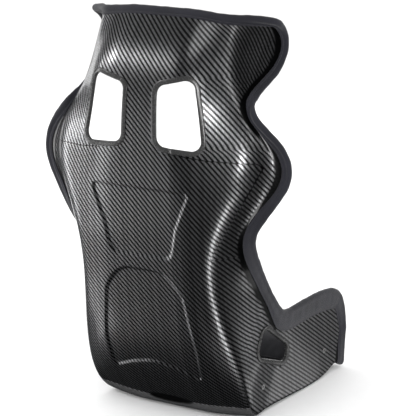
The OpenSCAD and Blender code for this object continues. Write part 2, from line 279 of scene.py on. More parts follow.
def new_mesh(name, points, faces):
    """Mesh with its faces' normals turned outwards."""
    mesh = bpy.data.meshes.new(name)
    mesh.from_pydata([tuple(p) for p in points], [], [[int(c) for c in q] for q in faces])
    bm = bmesh.new()
    bm.from_mesh(mesh)
    bmesh.ops.recalc_face_normals(bm, faces=bm.faces)
    bm.to_mesh(mesh)
    bm.free()
    return mesh


def new_piece(name, points, faces, material, nodes):
    """A visible piece that stands for CAD nodes."""
    mesh = new_mesh(name, points, faces)
    mesh.materials.append(material)
    mesh.polygons.foreach_set("use_smooth", [True] * len(mesh.polygons))
    mesh.update()
    piece = put_in_scene(name, mesh)
    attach(piece, "root")
    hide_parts(*nodes)
    return piece


# ---- Materials ---------------------------------------------------------------------------
class Nodes:
    """A material's node tree with short calls for the nodes it is made of."""

    def __init__(self, name):
        self.material = bpy.data.materials.new(name)
        self.material.use_nodes = True
        self.tree = self.material.node_tree
        self.shader = self.tree.nodes["Principled BSDF"]

    def link(self, value, socket):
        if isinstance(value, bpy.types.NodeSocket):
            self.tree.links.new(value, socket)
        else:
            size = getattr(socket.default_value, "__len__", lambda: 0)()
            socket.default_value = value[:size] if size else value

    def add(self, kind, inputs=(), **settings):
        node = self.tree.nodes.new(kind)
        for k, v in settings.items():
            setattr(node, k, v)
        for k, v in dict(inputs).items():
            self.link(v, node.inputs[k])
        return node

    def math(self, operation, a, b=0., c=0.):
        node = self.add("ShaderNodeMath", operation=operation)
        for k, v in enumerate((a, b, c)):
            self.link(v, node.inputs[k])
        return node.outputs[0]

    def mix(self, t, a, b):
        node = self.add("ShaderNodeMix", data_type="RGBA")
        self.link(t, node.inputs[0])
        self.link(a, node.inputs[6])
        self.link(b, node.inputs[7])
        return node.outputs[2]

    def blend(self, t, a, b):
        node = self.add("ShaderNodeMix", data_type="FLOAT")
        self.link(t, node.inputs[0])
        self.link(a, node.inputs[2])
        self.link(b, node.inputs[3])
        return node.outputs[0]

    def ramp(self, value, low, high, to_low=0., to_high=1.):
        inputs = {0: value, 1: low, 2: high, 3: to_low, 4: to_high}
        return self.add("ShaderNodeMapRange", inputs, interpolation_type="SMOOTHSTEP").outputs[0]

    def noise(self, where, scale, detail=2., rough=.5):
        inputs = {"Vector": where, "Scale": scale, "Detail": detail, "Roughness": rough}
        return self.add("ShaderNodeTexNoise", inputs).outputs[0]

    def cells(self, where, scale):
        inputs = {"Vector": where, "Scale": scale}
        return self.add("ShaderNodeTexVoronoi", inputs).outputs["Distance"]

    def attribute(self, name):
        return self.add("ShaderNodeAttribute", attribute_name=name).outputs["Fac"]

    def place(self):
        return self.add("ShaderNodeTexCoord").outputs["Object"]

    def bump(self, height, distance, strength=1.):
        inputs = {"Height": height, "Distance": distance, "Strength": strength}
        return self.add("ShaderNodeBump", inputs).outputs[0]

    def set(self, **sockets):
        for k, v in sockets.items():
            self.link(v, self.shader.inputs[k.replace("_", " ")])


def grey(v, tint=0.):
    """Grey of value v, turned towards blue by tint."""
    return (v * (1 - tint * .5), v * (1 - tint * .5), v * (1 + tint), 1)


def carbon_material():
    """2x2 twill of 3 mm tows under a glossy clear coat. The tows that run one way carry a painted
    highlight and the others painted shade, each tow with its own random tone. The bands of painted
    shade and dark reflection beside the binding, and the dent, are plain dark, and the rear lip is
    a lighter plain grey that is painted reflection."""
    m = Nodes("carbon twill")
    uv = m.add("ShaderNodeSeparateXYZ", {0: m.add("ShaderNodeUVMap", uv_map="weave").outputs[0]})
    edge = m.attribute("ply_edge")
    above = m.math("GREATER_THAN", edge, 0.)
    shift = m.math("MULTIPLY", above, m.attribute("ply_shift"))
    x = m.math("DIVIDE", m.math("ADD", uv.outputs[0], shift), TOW * MM)
    y = m.math("DIVIDE", uv.outputs[1], TOW * MM)
    i, j = m.math("FLOOR", x), m.math("FLOOR", y)
    diagonal = m.math("ADD", m.math("SUBTRACT", i, j), .5)
    warp = m.math("LESS_THAN", m.math("FLOORED_MODULO", diagonal, 4.), 2.)

    def crown(f):
        c = m.math("SUBTRACT", m.math("MULTIPLY", m.math("FRACT", f), 2.), 1.)
        return m.math("SUBTRACT", 1., m.math("MULTIPLY", c, c))

    height = m.blend(warp, crown(y), crown(x))
    which = {0: m.blend(warp, 7., i), 1: m.blend(warp, j, 3.), 2: warp}
    tow = m.add("ShaderNodeCombineXYZ", which).outputs[0]
    shade = m.add("ShaderNodeTexWhiteNoise", {0: tow}, noise_dimensions="3D").outputs["Value"]
    line = m.ramp(m.math("ABSOLUTE", edge), .0004, .0013)
    # Painted highlight on the tows that run one way and painted shade on the others, in place of
    # the light that each way of tow reflects
    painted_highlight_tone, painted_shade_tone = m.blend(shade, .32, .52), m.blend(shade, .008, .022)
    tone = m.math("MULTIPLY", m.blend(warp, painted_shade_tone, painted_highlight_tone), line)
    # Painted shade: each tow is darker towards its sides, where it curves away
    tone = m.math("MULTIPLY", tone, m.blend(height, .55, 1.))
    # Plain dark tone in the bands of painted shade and dark reflection beside the binding, and in
    # the dent
    band, lip = m.attribute("band"), m.attribute("lip")
    speck = m.ramp(m.noise(m.place(), 240., 3.), .3, .7, .75, 1.25)
    # Painted reflection: the lip under the crease gets a lighter tone and no metal
    tone = m.blend(band, tone, m.math("MULTIPLY", m.blend(lip, .012, .05), speck))
    channels = {0: tone, 1: tone, 2: m.math("MULTIPLY", tone, 1.03)}
    colour = m.add("ShaderNodeCombineColor", channels).outputs[0]
    ripple = m.noise(m.place(), 7., 1.)
    m.set(Base_Color=colour, Metallic=m.math("SUBTRACT", 1., lip),
          Roughness=m.blend(warp, .45, .37), Normal=m.bump(height, .0001, .5),
          Coat_Weight=.45, Coat_Roughness=.12, Coat_IOR=1.5, Coat_Normal=m.bump(ripple, .0004, .3))
    return m.material


def fabric_material(name, base, tint, scale=1.):
    """Fine knit with slight mottling and a soft sheen."""
    m = Nodes(name)
    at = m.place()
    fine = m.noise(at, 900. * scale, 2.)
    knit = m.cells(at, 620. * scale)
    broad = m.noise(at, 14., 3.)
    tone = m.math("MULTIPLY", m.ramp(broad, .3, .7, .82, 1.16), m.ramp(fine, .3, .7, .75, 1.25))
    shaded = {0: grey(base, tint), "Scale": tone}
    colour = m.add("ShaderNodeVectorMath", shaded, operation="SCALE").outputs[0]
    m.set(Base_Color=colour, Roughness=m.ramp(fine, .3, .7, .75, .95),
          Sheen_Weight=.15, Sheen_Roughness=.5, Specular_IOR_Level=.25,
          Normal=m.bump(m.math("ADD", knit, fine), .0005, .7))
    return m.material


def rubber_material():
    """Smooth satin rubber with a faint grain."""
    m = Nodes("rubber trim")
    at = m.place()
    grain = m.noise(at, 300., 3.)
    m.set(Base_Color=m.mix(m.noise(at, 20., 2.), grey(.018), grey(.04)),
          Roughness=m.ramp(grain, .3, .7, .2, .3), Specular_IOR_Level=.7,
          Normal=m.bump(grain, .0002, .4))
    return m.material


def steel_material(name, dark, light, rough):
    """Bare metal, mottled between two greys."""
    m = Nodes(name)
    at = m.place()
    grain = m.noise(at, 700., 4.)
    m.set(Base_Color=m.mix(m.noise(at, 60., 3.), grey(dark), grey(light)), Metallic=1.,
          Roughness=m.ramp(grain, .3, .7, rough - .06, rough + .08),
          Normal=m.bump(grain, .0001, .4))
    return m.material


def tape_material():
    """Hook tape: rows of small hooks."""
    m = Nodes("hook tape")
    at = m.place()
    hooks = m.cells(at, 700.)
    m.set(Base_Color=m.mix(hooks, grey(.008), grey(.035)), Roughness=.85,
          Normal=m.bump(hooks, .0008, .9))
    return m.material


CARBON = carbon_material()
BINDING = fabric_material("binding fabric", .014, .25)
PAD = fabric_material("pad fabric", .022, .1)
RUBBER = rubber_material()

# ---- The shell ---------------------------------------------------------------------------
# The slots that come in pairs: corners, axes of the plane that they are seen in, a u and v near
PAIRED_SLOTS = [(SHOULDER_SLOT, (0, 2), 19, 1.5), (LAP_SLOT, (1, 2), 8, 5.5)]


def slot_paths():
    """Every slot's outline on the surface: plane axes, side, outline in that plane, u, v."""
    paths = []
    for corners, axes, u, v in PAIRED_SLOTS:
        outline = divided(rounded(corners))
        pu, pv = located(outline, list(axes), u, v)
        paths += [(axes, 1, outline, pu, pv), (axes, -1, outline, pu, -pv)]
    crotch = divided(rounded(CROTCH_SLOT))
    pu, pv = located(np.abs(crotch) * [1, -1], [0, 1], 4, .5)
    paths.append(((0, 1), 0, crotch, pu, np.where(crotch[:, 0] < 0, -pv, pv)))
    return paths


SLOT_PATHS = slot_paths()


def flat_outline(path):
    """The slot's outline as it stands in its own plane, on its own side."""
    axes, side, outline, _, _ = path
    return outline * [side, 1] if side and axes[0] == 0 else outline


def near_slot(path, p, u):
    """Points that may belong to this slot, which keeps its mirror and other walls out."""
    axes, side, _, _, _ = path
    if axes == (0, 2):
        return (p[:, 0] * side > 0) & (u > 15)
    if axes == (1, 2):
        return p[:, 0] * side > .18
    return u < 7


# The u from which the shell is its rear side
REAR_U = 7.9


def relief(p, u, v):
    """How far the outer surface is pressed in, in metres."""
    rear = (u > REAR_U) & (abs(v) < 4.2)
    depth = np.zeros(len(p))
    for outline in (BACK_PANEL, LOW_PANEL):
        d = signed_distance(p[rear][:, [0, 2]], rounded(outline))
        depth[rear] += PANEL_DEPTH * MM * smooth(.5 - d / (PANEL_EDGE * MM))
    over = over_crease(p)
    ends = smooth((CREASE_END * MM - abs(p[:, 0])) / .02)
    above = smooth(over / (3 * MM) + .5) * np.exp(-np.clip(over, 0, 1) / .022)
    below = smooth(1 + over / (11 * MM)) * (over < 0)
    depth += rear * ends * MM * np.maximum(CREASE_DEPTH[0] * above, CREASE_DEPTH[1] * below)
    return np.maximum(depth, rear * DENT[3] * MM * smooth((1.1 - dent_share(p)) / .35))


def over_crease(p):
    """Height over the crease above the base's rear edge."""
    return p[..., 2] - (CREASE_Z * MM + CREASE_RISE * p[..., 0] ** 2)


def dent_share(p):
    """0 in the middle of the dent in the base's rear edge, 1 at its edge."""
    return np.hypot(p[..., 0] / (DENT[0] * MM), (p[..., 2] - DENT[2] * MM) / (DENT[1] * MM))


def shade_and_plain_bands(us, vs, p):
    """Where the skin is plain dark instead of woven: painted shade and dark reflection inside the
    binding and at the front, and over the base's rear edge, and where that is the lip under the
    crease, whose lighter tone is painted reflection."""
    step = np.linalg.norm(np.diff(p, axis=1), axis=2)
    ends = np.zeros((len(us), 1))
    from_right = np.hstack([ends, np.cumsum(step, 1)])
    from_left = np.hstack([np.cumsum(step[:, ::-1], 1)[:, ::-1], ends])
    # Band of painted shade and dark reflection inside the binding
    width = np.interp(us, *zip(*EDGE_SHADE_BAND))[:, None] * MM
    band = smooth((width - np.minimum(from_right, from_left)) / (BAND_FADE * MM) + .5)
    band = band * (width > MM)
    step = np.linalg.norm(np.diff(p, axis=0), axis=2)
    run = np.vstack([np.zeros((1, len(vs))), np.cumsum(step, 0)])
    # Band of painted shade at the front, beside the binding
    front = smooth((FRONT_SHADE_BAND * MM - run) / (BAND_FADE * MM) + .5) * (abs(vs) > 4.2)
    rear = (us[:, None] > REAR_U) * (abs(vs) < 4.1)
    # The lip is marked for its lighter tone, which is painted reflection
    lip = smooth(-over_crease(p) / (2 * MM) + .5) * rear
    dent = smooth((1.15 - dent_share(p)) / .3) * rear
    return np.maximum(np.maximum(band, front), np.maximum(lip, dent)), lip * (1 - dent)


def spread(spans):
    """Values over spans of (start, end, steps)."""
    parts = [np.linspace(a, b, n, endpoint=False) for a, b, n in spans]
    return np.concatenate([*parts, [spans[-1][1]]])


def weave_layout(us, vs, p):
    """Lengths along and across the cloth at each grid point, for the back and for the sides.
    The ply runs down the back and folds forward round the corner line, so on a side it is
    measured in the frame that it has at the corner."""
    mid, edge = np.argmin(abs(vs)), np.argmin(abs(vs - 4))
    run = np.concatenate([[0], np.cumsum(np.linalg.norm(np.diff(p[:, mid + 2], axis=0), axis=1))])
    across = np.zeros(p.shape[:2])
    step = np.linalg.norm(np.diff(p, axis=1), axis=2)
    across[:, mid + 1:] = np.cumsum(step[:, mid:], 1)
    across[:, :mid] = -np.cumsum(step[:, :mid][:, ::-1], 1)[:, ::-1]
    back = np.stack([across, np.broadcast_to(run[:, None], across.shape)], -1)
    side = back.copy()
    # Below this u the sides keep the frame that they have at it
    low = 11.5
    ref = np.maximum(us, low)
    corner = p[:, edge]
    table = np.column_stack([corner, across[:, edge], run])

    def at(u):
        return np.stack([np.interp(u, us, column) for column in table.T], -1)

    reach = 1.3
    ahead = at(np.minimum(ref + reach, U_END)) - at(np.maximum(ref - reach, 10))
    tangent = unit(ahead[:, :3])
    turn = np.arctan2(ahead[:, 3], ahead[:, 4])
    base = at(ref)
    for sign in (1, -1):
        cols = np.where(vs * sign > 4)[0]
        chord = p[:, cols[-1 if sign > 0 else 0]] - corner * [sign, 1, 1]
        t = tangent * [sign, 1, 1]
        chord = np.where(us[:, None] < low, [[0, -1, .3]], chord)
        fore = unit(chord - (chord * t).sum(1, keepdims=True) * t)
        d = p[:, cols] - (base[:, :3] * [sign, 1, 1])[:, None]
        a, b = (d * t[:, None]).sum(2), (d * fore[:, None]).sum(2)
        cos, sin = np.cos(turn)[:, None], np.sin(turn)[:, None]
        side[:, cols, 0] = sign * (base[:, 3:4] + a * sin + b * cos)
        side[:, cols, 1] = base[:, 4:5] + a * cos - b * sin
    return back, side


def skin_grid(us, vs, depth, pressed):
    """The shell's outer or inner skin, with slot edges snapped to their outlines. Returns its
    points before and after they go in by depth and by what is pressed, their v, the faces to
    keep, and each slot's ring of points with their places along the outline."""
    uu, vv = [a.ravel() for a in np.meshgrid(us, vs, indexing="ij")]
    plain = skin(uu, vv)[0]
    at = np.arange(len(uu)).reshape(len(us), len(vs))
    quads = np.stack([at[:-1, :-1], at[:-1, 1:], at[1:, 1:], at[1:, :-1]], -1).reshape(-1, 4)
    centre = plain[quads].mean(1)
    keep = np.ones(len(quads), bool)
    rings = []
    for path in SLOT_PATHS:
        axes, _, _, pu, pv = path
        outline = flat_outline(path)
        away = np.linalg.norm(centre - skin(pu, pv)[0].mean(0), axis=1)
        test = near_slot(path, centre, uu[quads].mean(1)) & (away < .15)
        cut = np.zeros(len(quads), bool)
        cut[test] = inside_of(centre[test][:, list(axes)], outline)
        keep &= ~cut
        ring = np.intersect1d(quads[cut].ravel(), quads[~cut].ravel())
        _, along, place, _ = nearest(plain[ring][:, list(axes)], closed(outline))
        side = np.where(plain[ring][:, 0] < 0, -1., 1.)
        if axes[0] == 0:
            place = place * np.column_stack([side, np.ones(len(side))])
        nu, nv = located(place, list(axes), uu[ring], abs(vv[ring]))
        uu[ring], vv[ring] = nu, nv * side
        rings.append((ring[np.argsort(along)], np.sort(along)))
    p, n = skin(uu, vv)
    depth = depth + (relief(plain, uu, vv) if pressed else 0)
    return p, p - n * np.reshape(depth, (-1, 1)), vv, quads[keep], rings


def bridge(a, ta, b, tb):
    """Triangles between two rings whose points have places along the same outline."""
    faces, i, j = [], 0, 0
    na, nb = len(a), len(b)
    while i < na or j < nb:
        next_a = ta[i + 1] if i + 1 < na else ta[0] + 1e3
        next_b = tb[j + 1] if j + 1 < nb else tb[0] + 1e3
        if j >= nb or (i < na and next_a <= next_b):
            faces.append([a[i % na], a[(i + 1) % na], b[j % nb]])
            i += 1
        else:
            faces.append([b[(j + 1) % nb], b[j % nb], a[i % na]])
            j += 1
    return faces


def build_shell():
    """The shell as one piece: both skins, the strips that join them at the rim and in the slots,
    and the weave's layout and bands as attributes. The inner skin is half as fine."""
    us = spread([(0, 8, 50), (8, 10, 40), (10, 17, 200), (17, U_END, 84)])
    side_vs = spread([(0, 1, 10), (1, 3.2, 44), (3.2, 4, 10), (4, V_END, 28)])
    vs = np.concatenate([-side_vs[:0:-1], side_vs])
    plain, outer, vv, outer_faces, outer_rings = skin_grid(us, vs, 0, True)
    _, inner, _, inner_faces, inner_rings = skin_grid(us[::2], vs[::2], WALL * MM, False)
    n, rows, cols = len(outer), len(us), len(vs)
    faces = [list(q) for q in outer_faces] + [list(q[::-1] + n) for q in inner_faces]
    outside = np.arange(rows * cols).reshape(rows, cols)
    inside = n + np.arange(len(inner)).reshape(rows // 2 + 1, cols // 2 + 1)
    for line in ((0, slice(None)), (-1, slice(None)), (slice(None), 0), (slice(None), -1)):
        far, near = outside[line], inside[line]
        for a, m, b, c, d in zip(far[::2], far[1::2], far[2::2], near, near[1:]):
            faces += [[a, m, c], [m, d, c], [m, b, d]]
    for (a, ta), (b, tb) in zip(outer_rings, inner_rings):
        faces += bridge(list(a), list(ta), list(b + n), list(tb))
    points = np.vstack([outer, inner])
    piece = new_piece("shell_skin", points, faces, CARBON, ["shell"])
    mesh = piece.data
    back, side = weave_layout(us, vs, plain.reshape(rows, cols, 3))
    lay = np.stack([np.vstack([a.reshape(-1, 2), a[::2, ::2].reshape(-1, 2)])
                    for a in (back, side)])
    v_all = np.concatenate([vv, vv.reshape(rows, cols)[::2, ::2].ravel()])
    loops = np.zeros(len(mesh.loops), int)
    mesh.loops.foreach_get("vertex_index", loops)
    owner = np.repeat(np.arange(len(mesh.polygons)), [len(q.vertices) for q in mesh.polygons])
    mean_v = np.bincount(owner, abs(v_all[loops])) / np.bincount(owner)
    which = (mean_v[owner] > 4).astype(int)
    weave = mesh.uv_layers.new(name="weave")
    weave.data.foreach_set("uv", lay[which, loops].astype(np.float32).ravel())
    add_ply_edge(mesh, points)
    for name, values in zip(("band", "lip"), shade_and_plain_bands(us, vs, plain.reshape(rows, cols, 3))):
        add_attribute(mesh, name, np.concatenate([values.ravel(), np.zeros(len(inner))]))


def add_attribute(mesh, name, values):
    attribute = mesh.attributes.new(name, "FLOAT", "POINT")
    attribute.data.foreach_set("value", values.astype(np.float32))


def add_ply_edge(mesh, points):
    """Signed distance to the upper ply's edge, which fades out near the middle, past its end
    and away from the back, and how far the cloth above it is shifted."""
    flat = np.column_stack([abs(points[:, 0]), points[:, 2]])
    line = np.array(PLY_EDGE, float) * MM
    d, along, _, side = nearest(flat, line)
    total = np.linalg.norm(np.diff(line, axis=0), axis=1).sum()
    faded = (along < .045) | (along > total - 1e-6) | (points[:, 1] < .2)
    signed = np.where(faded, np.copysign(np.maximum(d, .01), side), d * side)
    signed = np.where(flat[:, 1] > .4, signed, -.01)
    add_attribute(mesh, "ply_edge", signed)
    add_attribute(mesh, "ply_shift", PLY_SHIFT * MM * smooth((flat[:, 0] - .05) / .05))


build_shell()


# ---- Sweeps along the surface ------------------------------------------------------------
def soften(a, times):
    """Averages each entry with its neighbours, ends kept."""
    a = a.copy()
    for _ in range(times):
        a[1:-1] = (a[:-2] + 2 * a[1:-1] + a[2:]) / 4
    return a


def spline_loop(control, samples):
    """Closed smooth curve near control points."""
    control = np.asarray(control, float)
    t = np.linspace(0, len(control), samples, endpoint=False)
    i = t.astype(int)
    w = weights(t - i)
    return sum(w[:, k:k + 1] * control[(i + k - 1) % len(control)] for k in range(4))


def around(line):
    """Direction of a closed line at each of its points, not scaled."""
    return np.roll(line, -1, 0) - np.roll(line, 1, 0)


def frames_along(u, v, loop=False):
    """Points, outward normals and directions away from the surface along a path on it."""
    p, up = skin(u, v)
    away = unit(np.cross(around(p) if loop else np.gradient(p, axis=0), up))
    if not loop:
        up, away = unit(soften(up, 6)), unit(soften(away, 6))
        p = soften(p, 1)
    return p, up, away


def sweep(name, p, up, away, profiles, material, nodes, ends=True):
    """Solid through profiles of [beyond the edge, over the surface], in millimetres. At each
    end, if ends is true, two smaller rings make a flat cap and a close one keeps its edge."""
    rings = p[:, None] + (away[:, None] * profiles[..., :1] + up[:, None] * profiles[..., 1:]) * MM
    if ends:
        first, last = [
            [middle + (ring - middle) * .25, middle + (ring - middle) * .75, ring,
             ring + (after - ring) * .06]
            for ring, after, middle in ((rings[0], rings[1], rings[0].mean(0)),
                                        (rings[-1], rings[-2], rings[-1].mean(0)))]
        rings = np.concatenate([first, rings[1:-1], last[::-1]])
    n, k = rings.shape[:2]
    faces = [[i * k + j, i * k + (j + 1) % k, (i + 1) * k + (j + 1) % k, (i + 1) * k + j]
             for i in range(n - 1) for j in range(k)]
    faces += [list(range(k))[::-1], [(n - 1) * k + j for j in range(k)]]
    new_piece(name, rings.reshape(-1, 3), faces, material, nodes)


# ---- Fabric binding ----------------------------------------------------------------------
# Height of the binding's and the trims' inner legs, under the shell's inner skin
LOW = -WALL - CLEAR
# How far the roll's edge and the lap's thickness vary along a binding, and in what waves
WAVINESS = (.22, .12)
WAVES = (21., 47., 83., 139., 233.)


def binding_control(lap, edge, inner, puff, groove):
    """Control points of the padded channel over the shell's edge. lap and inner are its widths
    outside and inside, edge is how far the roll stands beyond the shell, puff how thick the
    lap is, and groove how deep the fold between lap and roll is."""
    return [
        [-lap + 1, CLEAR], [-lap - .6, CLEAR], [-lap - .8, 1.7], [-lap + .8, 2.4], [-lap + 3, 1.9],
        [-lap * .66, puff], [-lap * .33, puff], [-2, puff + .4 - groove], [1.5, puff + .8 - groove],
        [edge * .45, 6.2], [edge * .95, 4.2], [edge * 1.08, -1.5], [edge * .98, LOW - 4],
        [edge * .45, LOW - 8.6], [-3, LOW - 9.2], [-inner * .5, LOW - 8.8],
        [-inner * .85, LOW - 6], [-inner, LOW - 2.5], [-inner - .3, LOW], [-inner + 1.5, LOW],
        [-inner * .4, LOW], [1, LOW - .5], [1.5, -1.7], [.5, CLEAR],
    ]


def binding(name, u, v, settings, node, seed):
    """Binding along a path, with its measures given by u and slight waves from the seed."""
    p, up, away = frames_along(u, v)
    length = np.concatenate([[0], np.cumsum(np.linalg.norm(np.diff(p, axis=0), axis=1))])
    phase = np.random.default_rng(seed).uniform(0, 2 * math.pi, (2, len(WAVES)))
    wave = sum(np.sin(length[:, None] * f + phase[:, k]) for k, f in enumerate(WAVES))
    profiles = []
    for at, (edge_wave, puff_wave) in zip(u, wave * WAVINESS):
        size = {s: np.interp(at, *zip(*table)) for s, table in settings.items()}
        size["edge"] += edge_wave
        size["puff"] += puff_wave
        profiles.append(spline_loop(binding_control(**size), 44))
    sweep(name, p, up, away, np.array(profiles), BINDING, [node])


# Where the head's binding meets the side's
NECK_U = 19.6
# Measures of each binding, in millimetres, at values of u
HEAD = {
    "lap": [(19.6, 8), (21, 7), (22.5, 6), (23.6, 6), (24, 6)],
    "edge": [(19.6, 11), (23.5, 12), (24, 15.5)],
    "inner": [(19.6, 20), (23, 18), (23.6, 12), (24, 16)],
    "puff": [(19.6, 3), (24, 3)],
    "groove": [(19.6, 2.4), (24, 2.8)],
}
SIDE = {
    "lap": [(0, 20), (3, 38), (6.5, 38), (9, 33), (11, 20), (14, 19), (15.6, 13), (16.5, 8),
            (18.3, 8), (19.6, 8)],
    "edge": [(0, 12), (24, 12)],
    "inner": [(0, 20), (24, 20)],
    "puff": [(0, 4.5), (3, 5.2), (8, 5), (13, 3.6), (19.6, 2.8)],
    "groove": [(0, 0), (14, .4), (17, 1.6), (19.6, 2.4)],
}
FRONT = {"lap": [(0, 20)], "edge": [(0, 12)], "inner": [(0, 20)], "puff": [(0, 4)],
         "groove": [(0, 0)]}


def head_path():
    """Up the right rim, round the corner, over the top and down the left rim."""
    tip = .25
    up = np.linspace(NECK_U + .006, U_END - tip, 60)
    turn = np.linspace(0, math.pi / 2, 9)[1:-1]
    cu, cv = U_END - tip + tip * np.sin(turn), V_END - tip + tip * np.cos(turn)
    over = np.linspace(-(V_END - tip), V_END - tip, 110)
    u = np.concatenate([up, cu, np.full(len(over), float(U_END)), cu[::-1], up[::-1]])
    rim = np.full(len(up), float(V_END))
    return u, np.concatenate([-rim, -cv, over, cv[::-1], rim])


def side_path():
    """Down the left rim from the neck and round the front corner."""
    down = np.linspace(NECK_U - .006, 0, 230)
    across = np.linspace(V_END, 3.95, 22)[1:]
    v = np.concatenate([np.full(len(down), float(V_END)), across])
    return np.concatenate([down, np.zeros(len(across))]), v


def build_bindings():
    binding("head_roll", *head_path(), HEAD, "head_binding", 3)
    u, v = side_path()
    binding("side_roll_left", u, v, SIDE, "side_binding_left", 5)
    binding("side_roll_right", u[::-1], -v[::-1], SIDE, "side_binding_right", 6)
    v = np.linspace(3.93, -3.93, 70)
    binding("front_roll", np.zeros(len(v)), v, FRONT, "front_binding", 8)


build_bindings()


# ---- Rubber slot trims -------------------------------------------------------------------
TRIM_LAP = 9
TRIM_T = 2.2
# How far the trim stands into the slot, and the gap between its two ends
TRIM_NOSE = 1.8
TRIM_GAP = .7


def trim_control():
    """Control points of the rubber channel over a slot's edge."""
    lap, top, low, nose = -TRIM_LAP, CLEAR + TRIM_T, LOW - TRIM_T, CLEAR + TRIM_NOSE
    return [
        [CLEAR, CLEAR], [lap * .5, CLEAR], [lap, CLEAR], [lap, CLEAR + .2], [lap + .2, top * .75],
        [lap + 1.8, top], [lap * .5, top + .1], [-.6, top + .1], [nose - .3, top - .5],
        [nose, -1.75], [nose - .3, low + .5], [-.6, low - .1], [lap * .5, low - .1],
        [lap + 1.8, low], [lap + .2, low * .9], [lap, LOW - .2], [lap, LOW], [lap * .5, LOW],
        [CLEAR, LOW], [CLEAR, -1.75],
    ]


def fine_loop(u, v, step=.004):
    """The path with points about a step apart."""
    p = skin(u, v)[0]
    size = np.linalg.norm(np.roll(p, -1, 0) - p, axis=1)
    out_u, out_v = [], []
    for k in range(len(u)):
        n = max(1, int(round(size[k] / step)))
        t = np.arange(n) / n
        out_u.append(u[k] + (u[(k + 1) % len(u)] - u[k]) * t)
        out_v.append(v[k] + (v[(k + 1) % len(v)] - v[k]) * t)
    return np.concatenate(out_u), np.concatenate(out_v)


def trim(name, path, node, joint):
    """Rubber channel round a slot, cut where its two ends meet. joint is the share of its
    length at which they do. It is slightly thinner there."""
    u, v = fine_loop(*path[3:])
    k = int(joint * len(u))
    p, up, away = frames_along(np.roll(u, -k), np.roll(v, -k), loop=True)
    if ((p.mean(0) - p) * away).sum() < 0:
        away = -away
    profiles = np.repeat(spline_loop(trim_control(), 40)[None], len(p), 0)
    for k in (0, -1):
        middle = profiles[k].mean(0)
        profiles[k] = (profiles[k] - middle) * .93 + middle
    p = np.vstack([p, p[:1] - unit(p[:1] - p[-1:]) * TRIM_GAP * MM])
    up, away, profiles = [np.concatenate([a, a[:1]]) for a in (up, away, profiles)]
    sweep(name, p, up, away, profiles, RUBBER, [node], ends=False)


# Piece, node and place of the joint, in the order of SLOT_PATHS
TRIMS = [
    ("shoulder_trim_left", "shoulder_slot_trim_left", .02),
    ("shoulder_trim_right", "shoulder_slot_trim_right", .4),
    ("lap_trim_left", "lap_slot_trim_left", .12),
    ("lap_trim_right", "lap_slot_trim_right", .12),
    ("crotch_trim", "crotch_slot_trim", .5),
]
for path, (name, node, joint) in zip(SLOT_PATHS, TRIMS):
    trim(name, path, node, joint)

# ---- Pads --------------------------------------------------------------------------------
# Range of u, range of v, thickness, seams across and seams along, as shares of the pad's size.
# A pad that isn't a CAD node by this name is the left one of two.
PADS = {
    "headrest_pad": ((21.2, 23.6), (-2.6, 2.6), 22, (), (.25, .75)),
    "head_wing_pad": ((20.9, 23.4), (4.7, 6.5), 17.6, (), ()),
    "shoulder_pad": ((16.2, 18.7), (4.7, 6.5), 17.6, (), ()),
    "upper_back_pad": ((15.3, 17.4), (-2.7, 2.7), 22, (.5,), ()),
    "lumbar_pad": ((11.3, 15.1), (-2.7, 2.7), 26.4, (.2, .4, .6, .8), ()),
    "rib_pad": ((12.3, 15.4), (4.8, 6.5), 17.6, (.5,), ()),
    "seat_cushion": ((4.75, 8.1), (-3, 3), 45, (), (.25, .75)),
    "leg_cushion": ((.7, 3.5), (-3, 3), 60, (), (.5,)),
    "thigh_pad": ((1.3, 5), (5.75, 6.6), 17.6, (), ()),
}
PAD_CELL = 5.5
# A seam's width, and the share of the thickness that it takes away
SEAM_WIDTH = 5
SEAM_DROP = .5
# Shares of the thickness at the pad's edge, and added in its middle
EDGE_SHARE, CROWN_SHARE = .34, .5
# How firmly the front panel's edge is held while the pad swells
EDGE_HOLD = .9
SWELL_FRAMES = 20
# Limit to how far any point of a pad moves as it swells
SWELL_CAP = 7
CLOTH = {"quality": 5, "mass": .2, "tension_stiffness": 12, "compression_stiffness": 12,
         "shear_stiffness": 6, "bending_stiffness": .3, "use_pressure": True,
         "uniform_pressure_force": 4, "shrink_min": -.035, "shrink_max": -.035,
         "vertex_group_mass": "held", "pin_stiffness": 10}
PIPING_R = 2.2
PIPING = fabric_material("piping fabric", .016, .1, 1.5)


